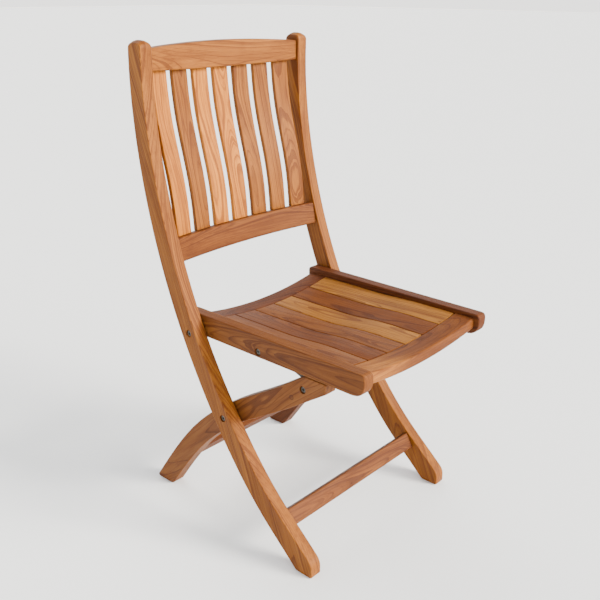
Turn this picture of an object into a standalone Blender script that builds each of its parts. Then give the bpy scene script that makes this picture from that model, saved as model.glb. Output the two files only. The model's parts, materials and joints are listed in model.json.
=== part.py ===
"""Slatted folding chair in solid teak, open for use.

Metres, Z up, X across the chair and Y from the seat's front edge (-) to the back feet (+); the
floor is z = 0. "right" is the sitter's right hand, which is -X. The bent front posts carry the
seat on one pair of pivots and the back legs on another, and two flat steel links under the seat
tie the tops of the legs to the seat rails.
"""

import math

import bmesh
import bpy
import numpy as np
from mathutils import Matrix, Vector

# Layers across the chair, as distances from the middle plane.
POST_OUTER = 0.2195
POST_INNER = 0.1930
FOLD_OUTER = 0.1905  # outer faces of the seat rails and the back legs
LEG_INNER = 0.1615
SEAT_RAIL_INNER = 0.1655
LINK_OUTER = 0.1610
LINK_INNER = 0.1580
CLEARANCE = 0.0003  # air left between pieces that touch

# Joint axes in the side view, as (y, z).
SEAT_PIVOT = (0.1192, 0.3974)
LEG_PIVOT = (0.0307, 0.2480)
LINK_PIVOT = (-0.0365, 0.3977)
LEG_TOP_BOLT = (-0.1461, 0.3593)

# Front posts: middle line from foot to top, and how deep the post is at each height.
POST_LINE = [
    (-0.2045, -0.0115), (-0.1723, 0.0190), (-0.0777, 0.1048), (0.0017, 0.1995),
    (0.0994, 0.3556), (0.1878, 0.5730), (0.2305, 0.7880), (0.2348, 0.8658), (0.2330, 0.9350),
]
POST_DEPTHS = ((0.0, 0.047), (0.20, 0.044), (0.35, 0.0405), (0.57, 0.0395), (0.925, 0.0365))
POST_TOE_Y = -0.197
POST_TOP = 0.925
POST_DOME = 0.006  # the top of a post drops this much at its side faces
POST_DOME_REACH = 0.020
SIDE_EDGE = 0.0022  # radius worn on the long edges of posts, legs and seat rails

# Back legs, from the foot up to the end under the seat rail.
LEG_LINE = [
    (0.2645, -0.0109), (0.2015, 0.0784), (0.1336, 0.1611), (0.0210, 0.2543),
    (-0.0826, 0.3171), (-0.1588, 0.3673), (-0.2070, 0.3990),
]
LEG_DEPTH = 0.043
LEG_TOP_Z = 0.3862
LEG_TIP_Y = -0.197
CROSS_RAIL_EDGE = (0.1690, 0.0887)  # lower front edge of the rail between the legs
CROSS_RAIL_TILT = math.radians(-39.0)
CROSS_RAIL_WIDTH = 0.036
CROSS_RAIL_THICK = 0.018

# Seat.
SEAT_FRONT, SEAT_REAR = -0.280, 0.1555
SEAT_TOP, SEAT_BOTTOM = 0.430, 0.387
DISH_MIDDLE = 0.0209  # slats below the side rails at the middle of the front rail
DISH_CURVE = 0.468  # rise of the dish with the square of the distance from the middle
HOLLOW_DEPTH = 0.0080  # further drop towards the back of the seat
HOLLOW_START, HOLLOW_FULL = -0.150, -0.037
FRONT_RAIL = (-0.2684, -0.2243)
REAR_RAIL = (0.1040, 0.1490)
SEAT_CROSS_HEIGHT = 0.0225
SEAT_SLATS = 6
SEAT_SLAT_GAP = 0.0025
SEAT_SLAT_THICK = 0.0105
BATTEN = (-0.092, -0.060)
BATTEN_HALF = 0.150
BATTEN_THICK = 0.012

# Back rest.
BACK_BOW = 0.0145  # the rails curve back by this much at the middle
LOWER_RAIL_FOOT = (0.1601, 0.5241)
LOWER_RAIL_TILT = math.radians(11.0)
LOWER_RAIL_HEIGHT = 0.0465
CREST_FOOT = (0.2218, 0.8706)
CREST_HEIGHT = 0.0395
CREST_ARCH = 0.0070
CREST_BELLY = 0.0040
BACK_RAIL_THICK = 0.024
BACK_SLATS = 7
BACK_SLAT_WIDTH = 0.0385
BACK_SLAT_GAP = 0.0155
BACK_SLAT_THICK = 0.0095
BACK_SLAT_INSET = 0.0178  # middle of the slats behind the rails' front faces
BACK_SLAT_WAVE = 0.0045
STRETCHER_FOOT = (-0.1312, 0.0703)
STRETCHER_TILT = math.radians(33.0)
STRETCHER_WIDTH = 0.0335
STRETCHER_THICK = 0.017

# Joinery and fasteners.
TENON = 0.012
STUB_TENON = 0.008
TONGUE = 0.008
SHANK_RADIUS = 0.0030
HEAD_RADIUS = 0.0058
SINK_RADIUS = 0.0072
SINK_DEPTH = 0.0060
NUT_RADIUS = 0.0056
HOLE_RADIUS = SHANK_RADIUS + CLEARANCE
INSERT_RADIUS = 0.0050
INSERT_LENGTH = 0.0130
WASHER_RADIUS = 0.0090
LINK_HALF_WIDTH = 0.0065
ROUND_POINTS = 24

SIDES = (("right", -1.0), ("left", 1.0))


def clear_scene():
    for thing in list(bpy.data.objects):
        bpy.data.objects.remove(thing, do_unlink=True)


def make_material(name, colour, roughness, metallic):
    material = bpy.data.materials.new(name)
    material.use_nodes = True
    shader = material.node_tree.nodes["Principled BSDF"]
    shader.inputs["Base Color"].default_value = (*colour, 1.0)
    shader.inputs["Roughness"].default_value = roughness
    shader.inputs["Metallic"].default_value = metallic
    return material


def make_axis(name, point):
    """Empty on a joint axis, which carries everything that turns about it."""
    axis = bpy.data.objects.new(name, None)
    axis.location = (0.0, point[0], point[1])
    bpy.context.scene.collection.objects.link(axis)
    return axis


# ---- curves and outlines in the side view --------------------------------------------------


def spline(knots, count):
    """Points along a natural cubic spline through the knots."""
    knots = np.array(knots, float)
    steps = np.linalg.norm(np.diff(knots, axis=0), axis=1)
    along = np.concatenate([[0.0], np.cumsum(steps)])
    size = len(knots)
    system = np.eye(size)
    right = np.zeros_like(knots)
    for i in range(1, size - 1):
        system[i, i - 1 : i + 2] = steps[i - 1], 2.0 * (steps[i - 1] + steps[i]), steps[i]
        ahead = (knots[i + 1] - knots[i]) / steps[i]
        behind = (knots[i] - knots[i - 1]) / steps[i - 1]
        right[i] = 6.0 * (ahead - behind)
    bend = np.linalg.solve(system, right)
    points = []
    for at in np.linspace(0.0, along[-1], count):
        i = min(int(np.searchsorted(along, at, side="right")) - 1, size - 2)
        a = (along[i + 1] - at) / steps[i]
        b = 1.0 - a
        curve = (a**3 - a) * bend[i] + (b**3 - b) * bend[i + 1]
        points.append(a * knots[i] + b * knots[i + 1] + curve * steps[i] ** 2 / 6.0)
    return np.array(points)


def strip(line, depths):
    """Outline of a bent bar, counter-clockwise: its middle line moved half its depth each way."""
    tangent = np.gradient(line, axis=0)
    tangent /= np.linalg.norm(tangent, axis=1)[:, None]
    normal = np.stack([tangent[:, 1], -tangent[:, 0]], axis=1)
    half = np.asarray(depths)[:, None] / 2.0
    return list(line + normal * half) + list((line - normal * half)[::-1])


def clip(outline, normal, limit):
    """The part of an outline where normal . point <= limit."""
    normal = np.array(normal, float)
    kept = []
    for here, after in zip(outline, outline[1:] + outline[:1]):
        d_here, d_after = normal @ here - limit, normal @ after - limit
        if d_here <= 0.0:
            kept.append(here)
        if d_here * d_after < 0.0:
            kept.append(here + (after - here) * d_here / (d_here - d_after))
    return kept


def walk(points, reach):
    """Point a given distance along a line of points, and the index of the next one."""
    for i in range(len(points) - 1):
        step = np.linalg.norm(points[i + 1] - points[i])
        if reach < step:
            return points[i] + (points[i + 1] - points[i]) * reach / step, i + 1
        reach -= step
    raise ValueError("the corner's reach is longer than the outline")


def round_corner(outline, corner, reach, steps=5):
    """Replaces the outline's point nearest to a corner by a curve that starts `reach` away."""
    corner = np.array(corner, float)
    first = min(range(len(outline)), key=lambda i: np.linalg.norm(outline[i] - corner))
    turned = outline[first:] + outline[:first]
    end, after = walk(turned, reach)
    start, before = walk([turned[0]] + turned[:0:-1], reach)
    curve = []
    for t in np.linspace(0.0, 1.0, steps + 1):
        curve.append((1 - t) ** 2 * start + 2 * t * (1 - t) * turned[0] + t**2 * end)
    return curve + turned[after : len(turned) - before + 1]


def inset(outline, amount):
    """A counter-clockwise outline drawn in by the same amount all round."""
    moved = []
    for i, here in enumerate(outline):
        normals = []
        for a, b in ((outline[i - 1], here), (here, outline[(i + 1) % len(outline)])):
            along = (b - a) / np.linalg.norm(b - a)
            normals.append(np.array([-along[1], along[0]]))
        both = normals[0] + normals[1]
        moved.append(here + amount * both / (1.0 + normals[0] @ normals[1]))
    return moved


def box_outline(y0, y1, z0, z1):
    return [np.array(point) for point in ((y0, z0), (y1, z0), (y1, z1), (y0, z1))]


def rounded_box(y0, y1, z0, z1, edge):
    """Rectangle with its corners rounded in two steps, always twelve points."""
    outline = []
    for cy, cz, turn in (
        (y0 + edge, z0 + edge, 180.0),
        (y1 - edge, z0 + edge, 270.0),
        (y1 - edge, z1 - edge, 0.0),
        (y0 + edge, z1 - edge, 90.0),
    ):
        for angle in (0.0, 45.0, 90.0):
            a = math.radians(turn + angle)
            outline.append((cy + edge * math.cos(a), cz + edge * math.sin(a)))
    return outline


def leaned(points, foot, tilt):
    """Section points (depth, height) set at a foot, with the height leaning back by a tilt."""
    c, s = math.cos(tilt), math.sin(tilt)
    return [(foot[0] + a * c + b * s, foot[1] - a * s + b * c) for a, b in points]


# ---- bodies --------------------------------------------------------------------------------


def add_body(name, points, faces, material, parent=None):
    mesh = bpy.data.meshes.new(name)
    mesh.from_pydata([tuple(map(float, p)) for p in points], [], faces)
    work = bmesh.new()
    work.from_mesh(mesh)
    bmesh.ops.recalc_face_normals(work, faces=work.faces)
    work.to_mesh(mesh)
    work.free()
    body = bpy.data.objects.new(name, mesh)
    bpy.context.scene.collection.objects.link(body)
    if material:
        mesh.materials.append(material)
    if parent:
        body.parent = parent
        body.matrix_parent_inverse = Matrix.Translation(-Vector(parent.location))
    return body


def loft_faces(rings, count, start=0, wrap=False):
    """Quads between neighbouring rings, with flat ends unless the rings close on themselves."""
    faces = []
    last = rings if wrap else rings - 1
    for k in range(last):
        a, b = start + k * count, start + (k + 1) % rings * count
        for i in range(count):
            j = (i + 1) % count
            faces.append((a + i, a + j, b + j, b + i))
    if not wrap:
        faces.append(tuple(start + i for i in range(count)))
        faces.append(tuple(start + (rings - 1) * count + i for i in reversed(range(count))))
    return faces


def loft(name, rings, material, parent=None, wrap=False):
    points = [point for ring in rings for point in ring]
    return add_body(name, points, loft_faces(len(rings), len(rings[0]), 0, wrap), material, parent)


def at_x(x, ring):
    return [(x, y, z) for y, z in ring]


def slab_rings(outline, x0, x1, edge):
    """Sections of a flat piece between two planes across the chair, its long edges rounded."""
    way = math.copysign(1.0, x1 - x0)
    steps = [math.radians(angle) for angle in (0.0, 45.0, 90.0)]
    near = [(edge * (1 - math.cos(a)), edge * (1 - math.sin(a))) for a in steps]
    rings = [at_x(x0 + way * depth, inset(outline, drawn)) for depth, drawn in near]
    rings += [at_x(x1 - way * depth, inset(outline, drawn)) for depth, drawn in reversed(near)]
    return rings


def round_rings(profile, centre, side=1.0, count=ROUND_POINTS):
    """Circles about an axis across the chair, from (x, radius) pairs."""
    rings = []
    for x, radius in profile:
        ring = []
        for k in range(count):
            a = 2.0 * math.pi * k / count
            ring.append((side * x, centre[0] + radius * math.cos(a), centre[1] + radius * math.sin(a)))
        rings.append(ring)
    return rings


def collar_rings(x0, x1, inner, outer, centre, side, count=ROUND_POINTS):
    """Sections of a washer or sleeve, taken all the way round its axis."""
    rings = []
    for k in range(count):
        a = 2.0 * math.pi * k / count
        ring = []
        for x, radius in ((x0, inner), (x1, inner), (x1, outer), (x0, outer)):
            y, z = centre[0] + radius * math.cos(a), centre[1] + radius * math.sin(a)
            ring.append((side * x, y, z))
        rings.append(ring)
    return rings


def cut(body, cutters):
    """Takes one or more closed shapes, each a list of rings, out of a body."""
    points, faces = [], []
    for rings in cutters:
        faces += loft_faces(len(rings), len(rings[0]), len(points))
        points += [point for ring in rings for point in ring]
    # Each shape is wound outwards on its own, so several can share one cutter.
    cutter = add_body(body.name + "_cuts", points, faces, None)
    cutter.hide_render = True
    cutter.display_type = "WIRE"
    boolean = body.modifiers.new("cuts", "BOOLEAN")
    boolean.operation = "DIFFERENCE"
    boolean.solver = "EXACT"
    boolean.object = cutter


def box_rings(x0, x1, outline):
    return [at_x(x0, outline), at_x(x1, outline)]


def crossbar_rings(section, half, tenon, length):
    """Sections of a rail across the chair, with a stepped tenon at both ends."""
    rings = [at_x(-half - length, tenon(-half)), at_x(-half, tenon(-half))]
    rings += [at_x(x, section(x)) for x in np.linspace(-half, half, 25)]
    rings += [at_x(half, tenon(half)), at_x(half + length, tenon(half))]
    return rings


def mortise(side, shoulder, length, outline):
    """Pocket for a tenon: its outline grown by the clearance, and as much deeper."""
    grown = inset([np.array(point) for point in outline], -CLEARANCE)
    end = side * (shoulder + length + CLEARANCE)
    return box_rings(side * (shoulder - 2.0 * CLEARANCE), end, grown)


def bow(x):
    """How far the back rest curves backwards at a distance from the middle plane."""
    return BACK_BOW * (1.0 - (x / POST_INNER) ** 2)


# ---- front posts and back rest -------------------------------------------------------------


def lower_rail_section(x):
    height = LOWER_RAIL_HEIGHT
    points = rounded_box(0.0, BACK_RAIL_THICK, 0.0, height, 0.003)
    foot = (LOWER_RAIL_FOOT[0] + bow(x), LOWER_RAIL_FOOT[1])
    return leaned(points, foot, LOWER_RAIL_TILT)


def lower_rail_tenon(x):
    points = rounded_box(0.006, BACK_RAIL_THICK - 0.006, 0.008, LOWER_RAIL_HEIGHT - 0.008, 0.002)
    foot = (LOWER_RAIL_FOOT[0] + bow(x), LOWER_RAIL_FOOT[1])
    return leaned(points, foot, LOWER_RAIL_TILT)


def crest_bottom(x):
    return CREST_FOOT[1] - CREST_BELLY * (1.0 - (x / POST_INNER) ** 2)


def crest_section(x):
    top = CREST_FOOT[1] + CREST_HEIGHT + CREST_ARCH * (1.0 - (x / POST_INNER) ** 2)
    front = CREST_FOOT[0] + bow(x)
    return rounded_box(front, front + BACK_RAIL_THICK, crest_bottom(x), top, 0.003)


def crest_tenon(x):
    front = CREST_FOOT[0] + bow(x)
    low, high = CREST_FOOT[1] + 0.008, CREST_FOOT[1] + CREST_HEIGHT - 0.012
    return rounded_box(front + 0.006, front + BACK_RAIL_THICK - 0.006, low, high, 0.002)


def stretcher_section(_x):
    points = rounded_box(0.0, STRETCHER_THICK, 0.0, STRETCHER_WIDTH, 0.0025)
    return leaned(points, STRETCHER_FOOT, STRETCHER_TILT)


def stretcher_tenon(_x):
    points = rounded_box(0.004, STRETCHER_THICK - 0.004, 0.006, STRETCHER_WIDTH - 0.006, 0.0015)
    return leaned(points, STRETCHER_FOOT, STRETCHER_TILT)


def bolt_sink(side, centre, outer, inner):
    """Counterbore and through hole for a bolt let in from the outside."""
    floor = outer - SINK_DEPTH
    profile = [(outer + 0.001, SINK_RADIUS), (floor, SINK_RADIUS), (floor, HOLE_RADIUS)]
    return round_rings(profile + [(inner - 0.001, HOLE_RADIUS)], centre, side)


def bolt_rings(side, centre, outer, end):
    """Socket-head bolt sunk in a counterbore, with a round socket in its head."""
    seat = outer - SINK_DEPTH + CLEARANCE
    top = seat + 0.0034
    profile = [(top - 0.0018, 0.0022), (top, 0.0024), (top, HEAD_RADIUS - 0.0008)]
    profile += [(top - 0.0008, HEAD_RADIUS), (seat, HEAD_RADIUS), (seat, SHANK_RADIUS)]
    return round_rings(profile + [(end, SHANK_RADIUS)], centre, side)


def domed(rings):
    """Lowers the top of a post towards its side faces."""
    middle, half = (POST_OUTER + POST_INNER) / 2.0, (POST_OUTER - POST_INNER) / 2.0
    moved = []
    for ring in rings:
        points = []
        for x, y, z in ring:
            near_top = max(0.0, 1.0 - (POST_TOP - z) / POST_DOME_REACH)
            away = (abs(x) - middle) / half
            points.append((x, y, z - POST_DOME * (near_top * away) ** 2))
        moved.append(points)
    return moved


def build_posts(teak):
    line = spline(POST_LINE, 56)
    depths = np.interp(line[:, 1], *zip(*POST_DEPTHS))
    outline = strip(line, depths)
    outline = clip(outline, (0.0, -1.0), 0.0)
    outline = clip(outline, (-1.0, 0.0), -POST_TOE_Y)
    outline = clip(outline, (0.0, 1.0), POST_TOP)
    outline = round_corner(outline, (POST_TOE_Y, 0.028), 0.012)
    outline = round_corner(outline, (POST_TOE_Y, 0.0), 0.0045, 3)
    outline = round_corner(outline, (-0.158, 0.0), 0.003, 3)
    outline = round_corner(outline, (0.2515, POST_TOP), 0.015, 6)
    outline = round_corner(outline, (0.2148, POST_TOP), 0.015, 6)
    for label, side in SIDES:
        rings = slab_rings(outline, side * POST_INNER, side * POST_OUTER, SIDE_EDGE)
        levels = np.linspace(POST_INNER + SIDE_EDGE, POST_OUTER - SIDE_EDGE, 5)[1:-1]
        rings = domed(rings[:3] + [at_x(side * x, outline) for x in levels] + rings[3:])
        post = loft("post_" + label, rings, teak)
        cutters = [bolt_sink(side, centre, POST_OUTER, POST_INNER) for centre in (SEAT_PIVOT, LEG_PIVOT)]
        for tenon in (crest_tenon, lower_rail_tenon, stretcher_tenon):
            cutters.append(mortise(side, POST_INNER, TENON, tenon(POST_INNER)))
        cut(post, cutters)


def back_slat_positions():
    pitch = BACK_SLAT_WIDTH + BACK_SLAT_GAP
    return [(k - (BACK_SLATS - 1) / 2.0) * pitch for k in range(BACK_SLATS)]


def slat_ring(x, y, z, tilt, half_width, half_thick, edge, floor=None):
    """Cross-section of a back slat, turned to follow the bow of the rails."""
    turn = math.atan(-2.0 * BACK_BOW * x / POST_INNER**2)
    ring = []
    for u, v in rounded_box(-half_width, half_width, -half_thick, half_thick, edge):
        px = x + u * math.cos(turn) - v * math.sin(turn)
        py = y + u * math.sin(turn) + v * math.cos(turn)
        pz = z - v * math.sin(tilt) if floor is None else floor(px)
        ring.append((px, py, pz))
    return ring


def back_slat_ends(x):
    """Where a slat's middle line meets the lower rail and the crest rail."""
    low = leaned([(BACK_SLAT_INSET, LOWER_RAIL_HEIGHT)], LOWER_RAIL_FOOT, LOWER_RAIL_TILT)[0]
    start = np.array([low[0] + bow(x), low[1] + CLEARANCE])
    end = np.array([CREST_FOOT[0] + BACK_SLAT_INSET + bow(x), crest_bottom(x) - CLEARANCE])
    return start, end


def back_slat_tongues(x, grow):
    """The slat's two tongues, or with `grow` the pockets they sit in."""
    start, end = back_slat_ends(x)
    half_width = BACK_SLAT_WIDTH / 2.0 - 0.004 + grow
    half_thick = 0.0028 + grow
    deep = TONGUE + grow
    lean = np.array([math.sin(LOWER_RAIL_TILT), math.cos(LOWER_RAIL_TILT)])
    foot = []
    for down in (deep, -2.0 * grow):
        y, z = start - lean * down
        foot.append(slat_ring(x, y, z, LOWER_RAIL_TILT, half_width, half_thick, 0.001))
    head = []
    for up in (-2.0 * grow, deep):
        rise = up - CLEARANCE
        head.append(
            slat_ring(x, end[0], end[1], 0.0, half_width, half_thick, 0.001, lambda px: crest_bottom(px) + rise)
        )
    return foot, head


def build_back(teak):
    half = POST_INNER - CLEARANCE
    crest = loft("crest_rail", crossbar_rings(crest_section, half, crest_tenon, TENON), teak)
    rings = crossbar_rings(lower_rail_section, half, lower_rail_tenon, TENON)
    lower = loft("lower_back_rail", rings, teak)
    pockets = [back_slat_tongues(x, CLEARANCE) for x in back_slat_positions()]
    cut(lower, [foot for foot, _ in pockets])
    cut(crest, [head for _, head in pockets])
    for number, x in enumerate(back_slat_positions(), 1):
        start, end = back_slat_ends(x)
        foot, head = back_slat_tongues(x, 0.0)
        rings = list(foot)
        half_width, half_thick = BACK_SLAT_WIDTH / 2.0, BACK_SLAT_THICK / 2.0
        for t in np.linspace(0.0, 1.0, 17):
            y, z = start + (end - start) * t
            y -= BACK_SLAT_WAVE * math.sin(2.0 * math.pi * t)
            tilt = LOWER_RAIL_TILT * (1.0 - t)
            floor = (lambda px: crest_bottom(px) - CLEARANCE) if t == 1.0 else None
            rings.append(slat_ring(x, y, z, tilt, half_width, half_thick, 0.002, floor))
        rings += head
        loft(f"back_slat_{number}", rings, teak)
    rings = crossbar_rings(stretcher_section, half, stretcher_tenon, TENON)
    loft("front_stretcher", rings, teak)


# ---- seat ----------------------------------------------------------------------------------


def seat_surface(x, y):
    """Height of the dished seat."""
    t = min(max((y - HOLLOW_START) / (HOLLOW_FULL - HOLLOW_START), 0.0), 1.0)
    hollow = HOLLOW_DEPTH * t * t * (3.0 - 2.0 * t) * (1.0 - 0.5 * (x / SEAT_RAIL_INNER) ** 2)
    return SEAT_TOP - DISH_MIDDLE + DISH_CURVE * x * x - hollow


def seat_cross_section(limits, edge):
    def section(x):
        top = seat_surface(x, sum(limits) / 2.0)
        return rounded_box(limits[0], limits[1], top - SEAT_CROSS_HEIGHT, top, edge)

    return section


def seat_cross_tenon(limits):
    def tenon(x):
        low = seat_surface(x, sum(limits) / 2.0) - SEAT_CROSS_HEIGHT
        return rounded_box(limits[0] + 0.008, limits[1] - 0.008, low + 0.004, low + 0.015, 0.0015)

    return tenon


def seat_slat_ring(x0, x1, y, above, below, edge):
    """Cross-section of a seat slat between two depths under the seat surface."""
    ring = [(x0, seat_surface(x0, y) - below), (x1, seat_surface(x1, y) - below)]
    for x, drop in ((x1, edge), (x1 - edge, 0.0), ((x0 + x1) / 2.0, 0.0), (x0 + edge, 0.0), (x0, edge)):
        ring.append((x, seat_surface(x, y) - above - drop))
    return [(x, y, z) for x, z in ring]


def seat_tongue(x0, x1, shoulder, way, grow):
    """A slat's tongue into the front (way -1) or rear (way 1) rail, or the pocket for it."""
    rings = []
    for along in (-2.0 * grow, TONGUE + grow):
        y = shoulder + way * along
        above, below = 0.0030 - grow, 0.0080 + grow
        rings.append(seat_slat_ring(x0 + 0.003 - grow, x1 - 0.003 + grow, y, above, below, 0.0005))
    return rings


def build_seat(teak, axis):
    outline = box_outline(SEAT_FRONT, SEAT_REAR, SEAT_BOTTOM, SEAT_TOP)
    outline = round_corner(outline, (SEAT_FRONT, SEAT_BOTTOM), 0.028, 8)
    outline = round_corner(outline, (SEAT_FRONT, SEAT_TOP), 0.010, 4)
    outline = round_corner(outline, (SEAT_REAR, SEAT_BOTTOM), 0.012, 5)
    outline = round_corner(outline, (SEAT_REAR, SEAT_TOP), 0.008, 4)
    half = SEAT_RAIL_INNER - CLEARANCE
    crossbars = (("seat_front_rail", FRONT_RAIL, 0.005), ("seat_rear_rail", REAR_RAIL, 0.005))
    for label, side in SIDES:
        rings = slab_rings(outline, side * SEAT_RAIL_INNER, side * FOLD_OUTER, SIDE_EDGE)
        rail = loft("seat_rail_" + label, rings, teak, axis)
        cutters = [bolt_sink(side, LINK_PIVOT, FOLD_OUTER, SEAT_RAIL_INNER)]
        profile = [(FOLD_OUTER + 0.001, INSERT_RADIUS + CLEARANCE)]
        profile.append((FOLD_OUTER - INSERT_LENGTH - CLEARANCE, INSERT_RADIUS + CLEARANCE))
        cutters.append(round_rings(profile, SEAT_PIVOT, side))
        for _, limits, _ in crossbars:
            tenon = seat_cross_tenon(limits)(SEAT_RAIL_INNER)
            cutters.append(mortise(side, SEAT_RAIL_INNER, STUB_TENON, tenon))
        cut(rail, cutters)

    pitch = 2.0 * SEAT_RAIL_INNER / SEAT_SLATS
    edges = []
    for k in range(SEAT_SLATS):
        x0 = -SEAT_RAIL_INNER + k * pitch + SEAT_SLAT_GAP / 2.0
        edges.append((x0, x0 + pitch - SEAT_SLAT_GAP))
    front, back = FRONT_RAIL[1] + CLEARANCE, REAR_RAIL[0] - CLEARANCE
    for name, limits, edge in crossbars:
        section, tenon = seat_cross_section(limits, edge), seat_cross_tenon(limits)
        rings = crossbar_rings(section, half, tenon, STUB_TENON)
        crossbar = loft(name, rings, teak, axis)
        shoulder, way = (front, -1.0) if limits is FRONT_RAIL else (back, 1.0)
        cut(crossbar, [seat_tongue(x0, x1, shoulder, way, CLEARANCE) for x0, x1 in edges])
    for number, (x0, x1) in enumerate(edges, 1):
        rings = list(reversed(seat_tongue(x0, x1, front, -1.0, 0.0)))
        for y in np.linspace(front, back, 19):
            rings.append(seat_slat_ring(x0, x1, y, 0.0, SEAT_SLAT_THICK, 0.0012))
        rings += seat_tongue(x0, x1, back, 1.0, 0.0)
        loft(f"seat_slat_{number}", rings, teak, axis)

    rings = []
    for x in np.linspace(-BATTEN_HALF, BATTEN_HALF, 17):
        tops = [seat_surface(x, y) - SEAT_SLAT_THICK - 3.0 * CLEARANCE for y in BATTEN]
        floor = min(tops) - BATTEN_THICK
        ring = [(BATTEN[0], floor), (BATTEN[1], floor), (BATTEN[1], tops[1]), (BATTEN[0], tops[0])]
        rings.append(at_x(x, ring))
    loft("seat_batten", rings, teak, axis)


# ---- back legs -----------------------------------------------------------------------------


def cross_rail_section(_x):
    points = rounded_box(0.0, CROSS_RAIL_THICK, 0.0, CROSS_RAIL_WIDTH, 0.0025)
    return leaned(points, CROSS_RAIL_EDGE, CROSS_RAIL_TILT)


def cross_rail_tenon(_x):
    points = rounded_box(0.004, CROSS_RAIL_THICK - 0.004, 0.006, CROSS_RAIL_WIDTH - 0.006, 0.0015)
    return leaned(points, CROSS_RAIL_EDGE, CROSS_RAIL_TILT)


def build_legs(teak, axis):
    line = spline(LEG_LINE, 44)
    outline = strip(line, np.full(len(line), LEG_DEPTH))
    outline = clip(outline, (0.0, -1.0), 0.0)
    outline = clip(outline, (0.0, 1.0), LEG_TOP_Z)
    outline = clip(outline, (-1.0, 0.0), -LEG_TIP_Y)
    outline = round_corner(outline, (0.2285, 0.0), 0.006, 4)
    outline = round_corner(outline, (0.2795, 0.0), 0.0075, 4)
    outline = round_corner(outline, (LEG_TIP_Y, LEG_TOP_Z), 0.0045, 4)
    for label, side in SIDES:
        rings = slab_rings(outline, side * LEG_INNER, side * FOLD_OUTER, SIDE_EDGE)
        leg = loft("rear_leg_" + label, rings, teak, axis)
        nut_floor = LEG_INNER + 0.0055
        nut = [(LEG_INNER - 0.001, SINK_RADIUS), (nut_floor, SINK_RADIUS), (nut_floor, HOLE_RADIUS)]
        cutters = [round_rings(nut + [(FOLD_OUTER + 0.001, HOLE_RADIUS)], LEG_PIVOT, side)]
        cutters.append(bolt_sink(side, LEG_TOP_BOLT, FOLD_OUTER, LEG_INNER))
        cutters.append(mortise(side, LEG_INNER, TENON, cross_rail_tenon(0.0)))
        cut(leg, cutters)
    half = LEG_INNER - CLEARANCE
    rings = crossbar_rings(cross_rail_section, half, cross_rail_tenon, TENON)
    loft("rear_cross_rail", rings, teak, axis)


# ---- links and fasteners -------------------------------------------------------------------


def link_outline():
    """Flat bar with round ends between the seat-rail bolt and the leg-top bolt."""
    start, end = np.array(LINK_PIVOT), np.array(LEG_TOP_BOLT)
    heading = math.atan2(*(end - start)[::-1])
    outline = []
    for centre, turn in ((start, heading + math.pi / 2.0), (end, heading - math.pi / 2.0)):
        for k in range(9):
            a = turn + math.pi * k / 8.0
            outline.append(centre + LINK_HALF_WIDTH * np.array([math.cos(a), math.sin(a)]))
    return outline


def build_links(steel, axis):
    for label, side in SIDES:
        rings = slab_rings(link_outline(), side * LINK_INNER, side * LINK_OUTER, 0.0004)
        link = loft("link_" + label, rings, steel, axis)
        hole = [(LINK_INNER - 0.001, HOLE_RADIUS), (LINK_OUTER + 0.001, HOLE_RADIUS)]
        cut(link, [round_rings(hole, centre, side) for centre in (LINK_PIVOT, LEG_TOP_BOLT)])
        flush = LINK_OUTER - CLEARANCE
        head = LINK_INNER - CLEARANCE
        profile = [(flush, SHANK_RADIUS), (head, SHANK_RADIUS), (head, HEAD_RADIUS)]
        profile += [(head - 0.0014, HEAD_RADIUS - 0.0004), (head - 0.0022, HEAD_RADIUS - 0.0022)]
        loft("link_rivet_" + label, round_rings(profile, LEG_TOP_BOLT, side), steel, axis)


def nut_rings(outer, inner, centre, side):
    """Six-sided nut round a bolt."""
    rings = []
    for k in range(12):
        a = math.pi * k / 6.0
        flat = 1.0 if k % 2 == 0 else math.cos(math.pi / 6.0)
        ring = []
        for x, radius in (
            (outer, HOLE_RADIUS), (inner, HOLE_RADIUS), (inner, NUT_RADIUS * flat), (outer, NUT_RADIUS * flat),
        ):
            ring.append((side * x, centre[0] + radius * math.cos(a), centre[1] + radius * math.sin(a)))
        rings.append(ring)
    return rings


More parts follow.
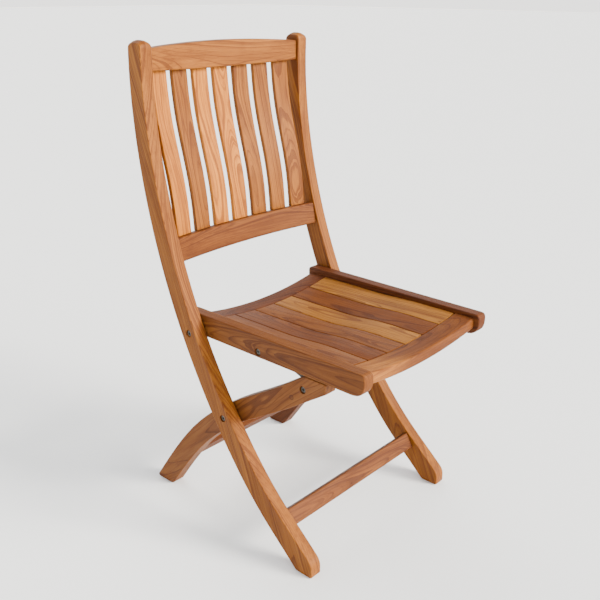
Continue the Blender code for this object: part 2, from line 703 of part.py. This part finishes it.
def build_fasteners(steel, seat_axis, leg_axis):
    gap_outer, gap_inner = POST_INNER - CLEARANCE, FOLD_OUTER + CLEARANCE
    for label, side in SIDES:
        bolt_end = FOLD_OUTER - INSERT_LENGTH + 0.001
        rings = bolt_rings(side, SEAT_PIVOT, POST_OUTER, bolt_end)
        loft("seat_pivot_bolt_" + label, rings, steel)
        rings = bolt_rings(side, LEG_PIVOT, POST_OUTER, LEG_INNER + 0.0005)
        loft("leg_pivot_bolt_" + label, rings, steel)
        for name, centre in (("seat_pivot_washer_", SEAT_PIVOT), ("leg_pivot_washer_", LEG_PIVOT)):
            rings = collar_rings(gap_inner, gap_outer, HOLE_RADIUS, WASHER_RADIUS, centre, side)
            loft(name + label, rings, steel, None, True)
        sleeve = (FOLD_OUTER - INSERT_LENGTH, FOLD_OUTER - 0.0002)
        rings = collar_rings(*sleeve, HOLE_RADIUS, INSERT_RADIUS, SEAT_PIVOT, side)
        loft("seat_pivot_insert_" + label, rings, steel, seat_axis, True)
        rings = nut_rings(LEG_INNER + 0.0052, LEG_INNER + 0.0007, LEG_PIVOT, side)
        loft("leg_pivot_nut_" + label, rings, steel, leg_axis, True)
        rings = bolt_rings(side, LINK_PIVOT, FOLD_OUTER, LINK_INNER - 0.0045)
        loft("link_bolt_" + label, rings, steel, seat_axis)
        spacer = (LINK_OUTER + CLEARANCE, SEAT_RAIL_INNER - CLEARANCE)
        rings = collar_rings(*spacer, HOLE_RADIUS, 0.0060, LINK_PIVOT, side)
        loft("link_spacer_" + label, rings, steel, seat_axis, True)
        rings = nut_rings(LINK_INNER - CLEARANCE, LINK_INNER - 0.0042, LINK_PIVOT, side)
        loft("link_nut_" + label, rings, steel, seat_axis, True)
        rings = bolt_rings(side, LEG_TOP_BOLT, FOLD_OUTER, LEG_INNER + 0.0002)
        loft("leg_top_bolt_" + label, rings, steel, leg_axis)


def main():
    clear_scene()
    teak = make_material("teak", (0.32, 0.135, 0.045), 0.55, 0.0)
    steel = make_material("steel", (0.42, 0.40, 0.37), 0.42, 1.0)
    seat_axis = make_axis("seat_axis", SEAT_PIVOT)
    leg_axis = make_axis("leg_axis", LEG_PIVOT)
    link_axis = make_axis("link_axis", LINK_PIVOT)
    build_posts(teak)
    build_back(teak)
    build_seat(teak, seat_axis)
    build_legs(teak, leg_axis)
    build_links(steel, link_axis)
    build_fasteners(steel, seat_axis, leg_axis)


main()
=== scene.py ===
"""Studio scene round a slatted teak folding chair. Each CAD piece gets a finished copy that rides on
the same body, with procedural teak or dull plated steel on it."""

import json
import math
import zlib

import bmesh
import bpy
import numpy as np
from mathutils import Matrix, Vector


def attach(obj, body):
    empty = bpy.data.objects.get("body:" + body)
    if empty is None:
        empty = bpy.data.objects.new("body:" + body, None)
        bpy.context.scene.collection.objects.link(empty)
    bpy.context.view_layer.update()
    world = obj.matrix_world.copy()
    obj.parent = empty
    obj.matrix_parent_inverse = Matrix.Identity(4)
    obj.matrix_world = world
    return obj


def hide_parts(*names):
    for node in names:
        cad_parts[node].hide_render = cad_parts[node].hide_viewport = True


# Body colours of teak boards, linear, from pale heartwood to old dark stock.
TONES = {
    "honey": (0.34, 0.11, 0.010),
    "straw": (0.23, 0.09, 0.012),
    "amber": (0.19, 0.06, 0.006),
    "brown": (0.14, 0.045, 0.008),
    "russet": (0.11, 0.03, 0.003),
    "dark": (0.08, 0.02, 0.003),
}

# Tone of each wooden piece, and where the pith of its board lies: (across, through) in metres.
WOOD = {
    "post_right": ("amber", (0.012, 0.060)),
    "post_left": ("amber", (-0.020, 0.070)),
    "crest_rail": ("amber", (0.030, 0.055)),
    "lower_back_rail": ("russet", (-0.024, 0.050)),
    "back_slat_1": ("honey", (0.030, 0.020)),
    "back_slat_2": ("amber", (-0.006, 0.030)),
    "back_slat_3": ("honey", (0.016, 0.045)),
    "back_slat_4": ("honey", (-0.014, 0.035)),
    "back_slat_5": ("amber", (0.010, 0.026)),
    "back_slat_6": ("amber", (-0.030, 0.030)),
    "back_slat_7": ("amber", (0.004, 0.040)),
    "front_stretcher": ("russet", (0.010, 0.030)),
    "seat_rail_right": ("brown", (0.015, 0.040)),
    "seat_rail_left": ("dark", (-0.010, 0.050)),
    "seat_front_rail": ("russet", (-0.020, 0.036)),
    "seat_rear_rail": ("dark", (0.014, 0.030)),
    "seat_slat_1": ("brown", (0.012, 0.035)),
    "seat_slat_2": ("russet", (-0.020, 0.026)),
    "seat_slat_3": ("brown", (0.006, 0.030)),
    "seat_slat_4": ("straw", (-0.012, 0.040)),
    "seat_slat_5": ("russet", (0.018, 0.034)),
    "seat_slat_6": ("straw", (0.030, 0.022)),
    "seat_batten": ("amber", (0.010, 0.040)),
    "rear_leg_right": ("brown", (-0.020, 0.060)),
    "rear_leg_left": ("dark", (0.018, 0.050)),
    "rear_cross_rail": ("russet", (0.010, 0.030)),
}
# Factors on a board's colour for its early wood, its late wood and its sapwood.
LIGHT_WOOD = (1.30, 1.42, 1.60)
DARK_WOOD = (0.40, 0.29, 0.25)
SAPWOOD_TINT = (2.6, 3.4, 5.0)

# Pieces with pale sapwood at the sitter's right end, and knots as (across, through, along, radius).
SAPWOOD = {"seat_front_rail": 0.8}
KNOTS = {
    "seat_front_rail": (0.004, 0.0, 0.028, 0.0085),
    "rear_leg_right": (-0.006, 0.010, -0.118, 0.0060),
    "post_left": (0.004, 0.010, 0.150, 0.0050),
    "seat_slat_5": (0.006, 0.0, -0.060, 0.0060),
}
NO_KNOT = (0.0, 0.0, 9.0, 0.005)  # too far along to touch any board

# Wooden plug over a screw, on the outer faces of the back legs: (y, z) and radius in metres.
PLUG = (-0.1200, 0.3360)
PLUG_RADIUS = 0.0042
PLUG_FACE = 0.1885  # the plugs show only beyond this distance from the middle plane
PLUG_FADE = 0.0005  # and come in fully over this much more
PLUG_WOOD = (0.07, 0.018, 0.004, 1.0)
GLUE_LINE = (0.02, 0.006, 0.002, 1.0)

RING_WIDTH = 0.0042
FIGURE = 0.90  # how strongly the rings show
KNOT_PUSH = 0.008  # how far a knot pushes the rings aside
KNOT_FALL_BASE = 2.718  # a knot's swelling dies away as this to a negative power
GRAIN_RELIEF = {"Strength": 0.45, "Distance": 0.0006}

SHARP_ANGLE = math.radians(40.0)
PITH_LEAN = 0.045  # how far a board's pith leans across it, per metre of length

PLATE_DARK = (0.055, 0.050, 0.044, 1.0)
PLATE_LIGHT = (0.12, 0.112, 0.10, 1.0)
RUST = (0.06, 0.026, 0.012, 1.0)
PLATE_RELIEF = {"Strength": 0.2, "Distance": 0.0002}

FLOOR_DIM = (0.85, 0.895, 0.945, 1.0)
FLOOR_BRIGHT = (0.87, 0.915, 0.965, 1.0)
FLOOR_REACH = 40.0
FLOOR_DROP = 0.0004  # keeps the floor clear of the feet

WARM_LIGHT = (1.0, 0.92, 0.80)
SOFT_LIGHT = (1.0, 0.96, 0.90)
WORLD_LIGHT = (1.0, 0.98, 0.95, 1.0)
WALL_STRENGTH = 2.35
CEILING_STRENGTH = 0.95

# The photo's camera. Azimuth 0 looks along +Y, from the front of the seat; angles in degrees.
CAMERA_PLACE = (-1.1367, -0.9891, 1.0121)
CAMERA_AZIMUTH = -48.057
CAMERA_ELEVATION = 20.937
CAMERA_ROLL = 0.39
CAMERA_LENS = 48.9
SENSOR_WIDTH = 36.0


# ---- node helpers --------------------------------------------------------------------------


class Graph:
    """Adds nodes to a tree and joins them up as they are named."""

    def __init__(self, tree):
        self.tree = tree

    def add(self, kind, inputs=None, **settings):
        node = self.tree.nodes.new(kind)
        for name, value in settings.items():
            setattr(node, name, value)
        for key, value in (inputs or {}).items():
            socket = node.inputs[key]
            if isinstance(value, bpy.types.NodeSocket):
                self.tree.links.new(value, socket)
            else:
                socket.default_value = value
        return node

    def math(self, operation, *values):
        node = self.add("ShaderNodeMath", dict(enumerate(values)), operation=operation)
        return node.outputs[0]

    def vector(self, operation, *values):
        node = self.add("ShaderNodeVectorMath", dict(enumerate(values)), operation=operation)
        return node.outputs["Vector"]

    def length(self, vector):
        node = self.add("ShaderNodeVectorMath", {0: vector}, operation="LENGTH")
        return node.outputs["Value"]

    def noise(self, vector, scale, detail=2.0, roughness=0.5):
        inputs = {"Vector": vector, "Scale": scale, "Detail": detail, "Roughness": roughness}
        return self.add("ShaderNodeTexNoise", inputs)

    def stretched(self, vector, across, along, detail=2.0, roughness=0.5):
        """Noise drawn out along a board, from its frequencies across and along it."""
        drawn = self.vector("MULTIPLY", vector, (across, across, along))
        return self.noise(drawn, 1.0, detail, roughness)

    def ramp(self, value, low, high, start=0.0, end=1.0):
        inputs = {"Value": value, "From Min": low, "From Max": high, "To Min": start, "To Max": end}
        node = self.add("ShaderNodeMapRange", inputs, interpolation_type="SMOOTHSTEP")
        return node.outputs["Result"]

    def mix(self, factor, a, b):
        node = self.add("ShaderNodeMix", data_type="RGBA", blend_type="MIX")
        for socket, value in ((node.inputs[0], factor), (node.inputs[6], a), (node.inputs[7], b)):
            if isinstance(value, bpy.types.NodeSocket):
                self.tree.links.new(value, socket)
            else:
                socket.default_value = value
        return node.outputs[2]


BLACK = (0.0, 0.0, 0.0, 1.0)


def teak_sockets(group):
    for name in ("Light", "Body", "Dark"):
        group.interface.new_socket(name, in_out="INPUT", socket_type="NodeSocketColor")
    for name in ("Seed", "Knot"):
        group.interface.new_socket(name, in_out="INPUT", socket_type="NodeSocketVector")
    for name in ("Ring", "Figure", "Sapwood", "Knot Radius"):
        group.interface.new_socket(name, in_out="INPUT", socket_type="NodeSocketFloat")
    group.interface.new_socket("Color", in_out="OUTPUT", socket_type="NodeSocketColor")
    for name in ("Roughness", "Height"):
        group.interface.new_socket(name, in_out="OUTPUT", socket_type="NodeSocketFloat")


def knot_field(g, given, grain):
    """How strongly a knot bends the wood round it, and the dark knot itself."""
    offset = g.vector("SUBTRACT", grain, given["Knot"])
    reach = g.length(g.vector("MULTIPLY", offset, (1.0, 0.35, 0.55)))
    reach = g.math("DIVIDE", reach, given["Knot Radius"])
    fall = g.math("MULTIPLY", g.math("MULTIPLY", reach, reach), -0.30)
    swell = g.math("POWER", KNOT_FALL_BASE, fall)
    return swell, g.ramp(reach, 0.55, 1.25, 1.0, 0.0)


def ring_count(g, given, grain, place, swell):
    """Rings from the pith, with lines that wander slowly along the board and shiver finely."""
    middle = (0.5, 0.5, 0.5)
    slow = g.stretched(place, 11.0, 2.4).outputs["Color"]
    fine = g.stretched(place, 95.0, 12.0).outputs["Color"]
    slow = g.vector("MULTIPLY", g.vector("SUBTRACT", slow, middle), (0.030, 0.030, 0.0))
    fine = g.vector("MULTIPLY", g.vector("SUBTRACT", fine, middle), (0.0016, 0.0016, 0.0))
    bent = g.vector("ADD", g.vector("ADD", grain, slow), fine)
    radius = g.length(g.vector("MULTIPLY", bent, (1.0, 1.0, 0.0)))
    radius = g.math("ADD", radius, g.math("MULTIPLY", swell, KNOT_PUSH))
    return g.math("DIVIDE", radius, given["Ring"])


def ring_lines(g, rings):
    """Uneven bands of rings, and one thin dark late-wood line in every ring."""
    uneven = g.add(
        "ShaderNodeTexNoise",
        {"W": rings, "Scale": 0.9, "Detail": 2.5, "Roughness": 0.55},
        noise_dimensions="1D",
    ).outputs["Fac"]
    turn = g.math("FRACT", g.math("ADD", rings, g.math("MULTIPLY", uneven, 2.2)))
    line = g.math("MULTIPLY", g.ramp(turn, 0.45, 0.93), g.ramp(turn, 0.94, 1.0, 1.0, 0.0))
    return g.ramp(uneven, 0.33, 0.68), line


def end_grain(g):
    """1 where the surface cuts across the fibres, 0 along them."""
    along = g.add("ShaderNodeAttribute", attribute_name="grain_axis").outputs["Vector"]
    normal = g.add("ShaderNodeTexCoord").outputs["Normal"]
    facing = g.add("ShaderNodeVectorMath", {0: along, 1: normal}, operation="DOT_PRODUCT")
    return g.ramp(g.math("ABSOLUTE", facing.outputs["Value"]), 0.72, 0.97)


def heartwood(g, given, bands, line, cloud, broad, streaks, fibres, pores, deep):
    """The board's colour: ring bands, clouds and streaks, then late-wood lines, fibres and pores."""
    light, body, dark = given["Light"], given["Body"], given["Dark"]
    colour = g.mix(g.math("MULTIPLY", bands, given["Figure"]), light, body)
    colour = g.mix(g.ramp(cloud, 0.35, 1.0, 0.0, 0.55), colour, body)
    colour = g.mix(g.ramp(broad, 0.46, 0.68, 0.0, 0.75), colour, deep)
    colour = g.mix(g.ramp(streaks, 0.45, 0.75, 0.0, 0.60), colour, dark)
    colour = g.mix(g.math("MULTIPLY", line, g.math("MULTIPLY", given["Figure"], 0.85)), colour, dark)
    colour = g.mix(g.ramp(fibres, 0.35, 0.70, 0.0, 0.45), colour, g.mix(0.5, colour, dark))
    return g.mix(g.math("MULTIPLY", pores, 0.70), colour, g.mix(0.35, dark, BLACK))


def sapwood_and_knot(g, given, colour, grain, broad, swell, knot, deep):
    """Pale sapwood at one end with a wavering edge, and a dark knot with a halo."""
    length = g.add("ShaderNodeSeparateXYZ", {0: grain}).outputs["Z"]
    edge = g.math("ADD", length, g.math("MULTIPLY", g.math("SUBTRACT", broad, 0.5), 0.10))
    pale = g.math("MULTIPLY", g.ramp(edge, -0.120, -0.030, 1.0, 0.0), given["Sapwood"])
    colour = g.mix(pale, colour, g.vector("MULTIPLY", colour, SAPWOOD_TINT))
    heart = g.mix(0.55, given["Dark"], BLACK)
    colour = g.mix(g.math("MULTIPLY", knot, 0.80), colour, heart)
    return g.mix(g.math("MULTIPLY", swell, 0.45), colour, deep)


def worn(g, given, colour, place, ends):
    """Dark end grain, a few stains and paler rubbed patches."""
    body, dark = given["Body"], given["Dark"]
    colour = g.mix(g.math("MULTIPLY", ends, 0.55), colour, g.mix(0.5, dark, body))
    stain = g.noise(g.vector("ADD", place, (3.0, 1.0, 2.0)), 26.0, 4.0, 0.6).outputs["Fac"]
    colour = g.mix(g.ramp(stain, 0.56, 0.80, 0.0, 0.28), colour, g.mix(0.6, colour, dark))
    rub = g.noise(g.vector("ADD", place, (7.0, 2.0, 5.0)), 9.0, 3.0, 0.6).outputs["Fac"]
    rub = g.ramp(rub, 0.55, 0.75)
    return g.mix(g.math("MULTIPLY", rub, 0.16), colour, given["Light"])


def make_teak_group():
    """Solid teak: growth rings about a pith, long fibres, open pores and cloudy colour."""
    group = bpy.data.node_groups.new("teak_grain", "ShaderNodeTree")
    teak_sockets(group)
    g = Graph(group)
    given = g.add("NodeGroupInput").outputs
    grain = g.add("ShaderNodeAttribute", attribute_name="grain").outputs["Vector"]
    place = g.vector("ADD", grain, given["Seed"])
    swell, knot = knot_field(g, given, grain)
    bands, line = ring_lines(g, ring_count(g, given, grain, place, swell))

    streaks = g.stretched(place, 240.0, 5.5, 3.0, 0.6).outputs["Fac"]
    fibres = g.stretched(place, 1100.0, 26.0, 2.0, 0.6).outputs["Fac"]
    pores = g.ramp(g.stretched(place, 1500.0, 75.0, 1.0).outputs["Fac"], 0.60, 0.72)
    pores = g.math("MULTIPLY", pores, g.math("ADD", g.math("MULTIPLY", line, 0.6), 0.4))
    cloud = g.ramp(g.stretched(place, 15.0, 3.2, 3.0, 0.55).outputs["Fac"], 0.30, 0.70)
    broad = g.stretched(place, 42.0, 3.0).outputs["Fac"]
    ends = end_grain(g)

    deep = g.mix(0.45, given["Body"], given["Dark"])
    colour = heartwood(g, given, bands, line, cloud, broad, streaks, fibres, pores, deep)
    colour = sapwood_and_knot(g, given, colour, grain, broad, swell, knot, deep)
    colour = worn(g, given, colour, place, ends)

    rough = g.math("ADD", 0.46, g.math("MULTIPLY", cloud, 0.10))
    rough = g.math("ADD", rough, g.math("MULTIPLY", fibres, 0.10))
    rough = g.math("ADD", rough, g.math("MULTIPLY", ends, 0.15))
    height = g.math("MULTIPLY", fibres, 0.30)
    height = g.math("SUBTRACT", height, g.math("MULTIPLY", pores, 0.70))
    height = g.math("ADD", height, g.math("MULTIPLY", line, 0.22))
    g.add("NodeGroupOutput", {"Color": colour, "Roughness": rough, "Height": height})
    return group


def make_material(name):
    material = bpy.data.materials.new(name)
    material.use_nodes = True
    tree = material.node_tree
    return material, Graph(tree), tree.nodes["Principled BSDF"]


def shade_of(body, factors):
    return (*(channel * factor for channel, factor in zip(body, factors)), 1.0)


def plugged(g, colour):
    """Adds a round wooden plug with a dark glue line to a back leg's colour."""
    place = g.add("ShaderNodeAttribute", attribute_name="place").outputs["Vector"]
    offset = g.vector("SUBTRACT", place, (0.0, *PLUG))
    away = g.length(g.vector("MULTIPLY", offset, (0.0, 1.0, 1.0)))
    away = g.math("DIVIDE", away, PLUG_RADIUS)
    across = g.math("ABSOLUTE", g.add("ShaderNodeSeparateXYZ", {0: place}).outputs["X"])
    outer = g.ramp(across, PLUG_FACE, PLUG_FACE + PLUG_FADE)
    inside = g.math("MULTIPLY", g.ramp(away, 0.80, 0.95, 1.0, 0.0), 0.45)
    colour = g.mix(g.math("MULTIPLY", inside, outer), colour, PLUG_WOOD)
    rim = g.math("MULTIPLY", g.ramp(away, 0.78, 0.95), g.ramp(away, 1.05, 1.30, 1.0, 0.0))
    rim = g.math("MULTIPLY", g.math("MULTIPLY", rim, 0.75), outer)
    return g.mix(rim, colour, GLUE_LINE)


def teak_material(name, group, body, seed):
    material, g, shader = make_material("teak_" + name)
    knot = KNOTS.get(name, NO_KNOT)
    inputs = {"Light": shade_of(body, LIGHT_WOOD), "Body": (*body, 1.0)}
    inputs["Dark"] = shade_of(body, DARK_WOOD)
    inputs["Seed"] = seed
    inputs["Ring"] = RING_WIDTH
    inputs["Figure"] = FIGURE
    inputs["Sapwood"] = SAPWOOD.get(name, 0.0)
    inputs["Knot"] = knot[:3]
    inputs["Knot Radius"] = knot[3]
    grain = g.tree.nodes.new("ShaderNodeGroup")
    grain.node_tree = group
    for key, value in inputs.items():
        grain.inputs[key].default_value = value
    bump = g.add("ShaderNodeBump", {"Height": grain.outputs["Height"], **GRAIN_RELIEF})
    colour = grain.outputs["Color"]
    if name.startswith("rear_leg"):
        colour = plugged(g, colour)
    g.tree.links.new(colour, shader.inputs["Base Color"])
    g.tree.links.new(grain.outputs["Roughness"], shader.inputs["Roughness"])
    g.tree.links.new(bump.outputs["Normal"], shader.inputs["Normal"])
    shader.inputs["Metallic"].default_value = 0.0
    shader.inputs["IOR"].default_value = 1.45
    shader.inputs["Specular IOR Level"].default_value = 0.16
    return material


def steel_material():
    """Dull zinc plate with cloudy tarnish, fine scratches and brown specks."""
    material, g, shader = make_material("plated_steel")
    place = g.add("ShaderNodeTexCoord").outputs["Object"]
    cloud = g.noise(place, 160.0, 4.0, 0.6).outputs["Fac"]
    scratch = g.noise(g.vector("MULTIPLY", place, (2600.0, 300.0, 300.0)), 1.0, 2.0).outputs["Fac"]
    speck = g.ramp(g.noise(place, 700.0, 3.0, 0.7).outputs["Fac"], 0.60, 0.72)
    colour = g.mix(g.ramp(cloud, 0.3, 0.7), PLATE_DARK, PLATE_LIGHT)
    colour = g.mix(g.math("MULTIPLY", speck, 0.6), colour, RUST)
    rough = g.math("ADD", 0.34, g.math("MULTIPLY", cloud, 0.25))
    rough = g.math("ADD", rough, g.math("MULTIPLY", speck, 0.25))
    bump = g.add("ShaderNodeBump", {"Height": scratch, **PLATE_RELIEF})
    g.tree.links.new(colour, shader.inputs["Base Color"])
    g.tree.links.new(rough, shader.inputs["Roughness"])
    g.tree.links.new(bump.outputs["Normal"], shader.inputs["Normal"])
    shader.inputs["Metallic"].default_value = 1.0
    return material


def floor_material():
    material, g, shader = make_material("studio_floor")
    place = g.add("ShaderNodeTexCoord").outputs["Object"]
    cloud = g.noise(place, 1.3, 3.0).outputs["Fac"]
    colour = g.mix(cloud, FLOOR_DIM, FLOOR_BRIGHT)
    g.tree.links.new(colour, shader.inputs["Base Color"])
    shader.inputs["Roughness"].default_value = 0.7
    return material


# ---- pieces --------------------------------------------------------------------------------


def finished_copy(name):
    """Smooth-shaded copy of a CAD piece, welded where its faces meet."""
    source = frame["nodes"][name]
    mesh = bpy.data.meshes.new(name + "_finish")
    work = bmesh.new()
    work.from_mesh(source.data)
    bmesh.ops.remove_doubles(work, verts=work.verts, dist=2e-6)
    bmesh.ops.dissolve_limit(
        work, angle_limit=math.radians(0.05), verts=work.verts, edges=work.edges
    )
    work.to_mesh(mesh)
    work.free()
    mesh.shade_smooth()
    mesh.set_sharp_from_angle(angle=SHARP_ANGLE)
    piece = bpy.data.objects.new(name + "_finish", mesh)
    bpy.context.scene.collection.objects.link(piece)
    weighted = piece.modifiers.new("even_faces", "WEIGHTED_NORMAL")
    weighted.keep_sharp = True
    return piece


def store(mesh, name, values):
    attribute = mesh.attributes.new(name, "FLOAT_VECTOR", "POINT")
    attribute.data.foreach_set("vector", np.asarray(values, np.float32).ravel())


def set_grain(piece, pith):
    """Stores each point's place in the chair and in its board: across, through and along."""
    points = np.array([v.co for v in piece.data.vertices], float)
    centre = (points.min(0) + points.max(0)) / 2.0
    _, axes = np.linalg.eigh(np.cov((points - centre).T))
    along, across, through = axes[:, 2], axes[:, 1], axes[:, 0]
    ordered = (across, through, along)
    basis = [axis * math.copysign(1.0, axis[np.abs(axis).argmax()]) for axis in ordered]
    local = (points - centre) @ np.array(basis).T
    local[:, 0] += pith[0] + PITH_LEAN * local[:, 2]
    local[:, 1] += pith[1] + 0.5 * PITH_LEAN * local[:, 2]
    store(piece.data, "place", points)
    store(piece.data, "grain", local)
    store(piece.data, "grain_axis", np.tile(basis[2], (len(points), 1)))


def seed_of(name):
    number = zlib.crc32(name.encode())
    return tuple((number >> shift) % 997 / 37.0 for shift in (0, 9, 18))


def dress_pieces():
    group = make_teak_group()
    steel = steel_material()
    for body, members in frame["record"]["behaviour"]["bodies"].items():
        for name in members:
            piece = finished_copy(name)
            if name in WOOD:
                tone, pith = WOOD[name]
                set_grain(piece, pith)
                piece.data.materials.append(teak_material(name, group, TONES[tone], seed_of(name)))
            else:
                piece.data.materials.append(steel)
            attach(piece, body)
            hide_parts(name)


# ---- studio --------------------------------------------------------------------------------


def make_floor():
    mesh = bpy.data.meshes.new("studio_floor")
    turns = ((-1, -1), (1, -1), (1, 1), (-1, 1))
    corners = [(x * FLOOR_REACH, y * FLOOR_REACH, 0.0) for x, y in turns]
    mesh.from_pydata(corners, [], [(0, 1, 2, 3)])
    mesh.materials.append(floor_material())
    floor = bpy.data.objects.new("studio_floor", mesh)
    bpy.context.scene.collection.objects.link(floor)
    floor.location.z = -FLOOR_DROP


def add_light(data, place, target):
    light = bpy.data.objects.new(data.name, data)
    light.location = place
    direction = Vector(target) - Vector(place)
    light.rotation_mode = "QUATERNION"
    light.rotation_quaternion = direction.to_track_quat("-Z", "Y")
    bpy.context.scene.collection.objects.link(light)


def sun_light(name, place, strength, spread, colour):
    data = bpy.data.lights.new(name, "SUN")
    data.energy = strength
    data.angle = math.radians(spread)
    data.color = colour
    add_light(data, place, (0.0, 0.0, 0.0))


def area_light(name, place, target, size, power, colour):
    data = bpy.data.lights.new(name, "AREA")
    data.shape = "DISK"
    data.size = size
    data.energy = power
    data.color = colour
    add_light(data, place, target)


def make_lights():
    sun_light("key", (1.1, -2.4, 1.35), 8.5, 22.0, WARM_LIGHT)
    sun_light("front", (0.2, -2.5, 0.55), 4.5, 24.0, WARM_LIGHT)
    sun_light("back", (0.8, 2.2, 2.2), 1.3, 40.0, SOFT_LIGHT)
    area_light("fill", (-2.8, -1.2, 1.6), (0.0, 0.0, 0.4), 2.4, 8.0, SOFT_LIGHT)


def make_world():
    """Bright walls all round and a dimmer ceiling."""
    world = bpy.data.worlds.new("studio")
    world.use_nodes = True
    g = Graph(world.node_tree)
    shade = world.node_tree.nodes["Background"]
    upward = g.add("ShaderNodeTexCoord").outputs["Generated"]
    height = g.add("ShaderNodeSeparateXYZ", {0: upward}).outputs["Z"]
    walls = g.ramp(height, 0.10, 0.75, WALL_STRENGTH, CEILING_STRENGTH)
    g.tree.links.new(walls, shade.inputs["Strength"])
    shade.inputs["Color"].default_value = WORLD_LIGHT
    bpy.context.scene.world = world


def make_camera():
    data = bpy.data.cameras.new("photo_angle")
    data.sensor_width = SENSOR_WIDTH
    data.lens = CAMERA_LENS
    data.clip_end = 200.0
    azimuth = math.radians(CAMERA_AZIMUTH)
    elevation = math.radians(CAMERA_ELEVATION)
    roll = math.radians(CAMERA_ROLL)
    back = Vector((
        math.sin(azimuth) * math.cos(elevation),
        -math.cos(azimuth) * math.cos(elevation),
        math.sin(elevation),
    ))
    right = Vector((math.cos(azimuth), math.sin(azimuth), 0.0))
    right = right * math.cos(roll) + back.cross(right) * math.sin(roll)
    turn = Matrix((right, back.cross(right), back)).transposed()
    camera = bpy.data.objects.new("photo_angle", data)
    bpy.context.scene.collection.objects.link(camera)
    camera.matrix_world = Matrix.Translation(CAMERA_PLACE) @ turn.to_4x4()
    bpy.context.scene.camera = camera


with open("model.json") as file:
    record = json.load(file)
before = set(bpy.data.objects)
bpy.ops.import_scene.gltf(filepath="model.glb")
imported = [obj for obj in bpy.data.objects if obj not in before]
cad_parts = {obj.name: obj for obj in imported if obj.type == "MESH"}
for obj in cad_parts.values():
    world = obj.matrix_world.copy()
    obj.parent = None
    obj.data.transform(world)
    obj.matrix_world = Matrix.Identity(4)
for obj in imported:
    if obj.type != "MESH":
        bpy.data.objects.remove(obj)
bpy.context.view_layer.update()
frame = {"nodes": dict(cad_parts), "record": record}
dress_pieces()
make_floor()
make_lights()
make_world()
make_camera()
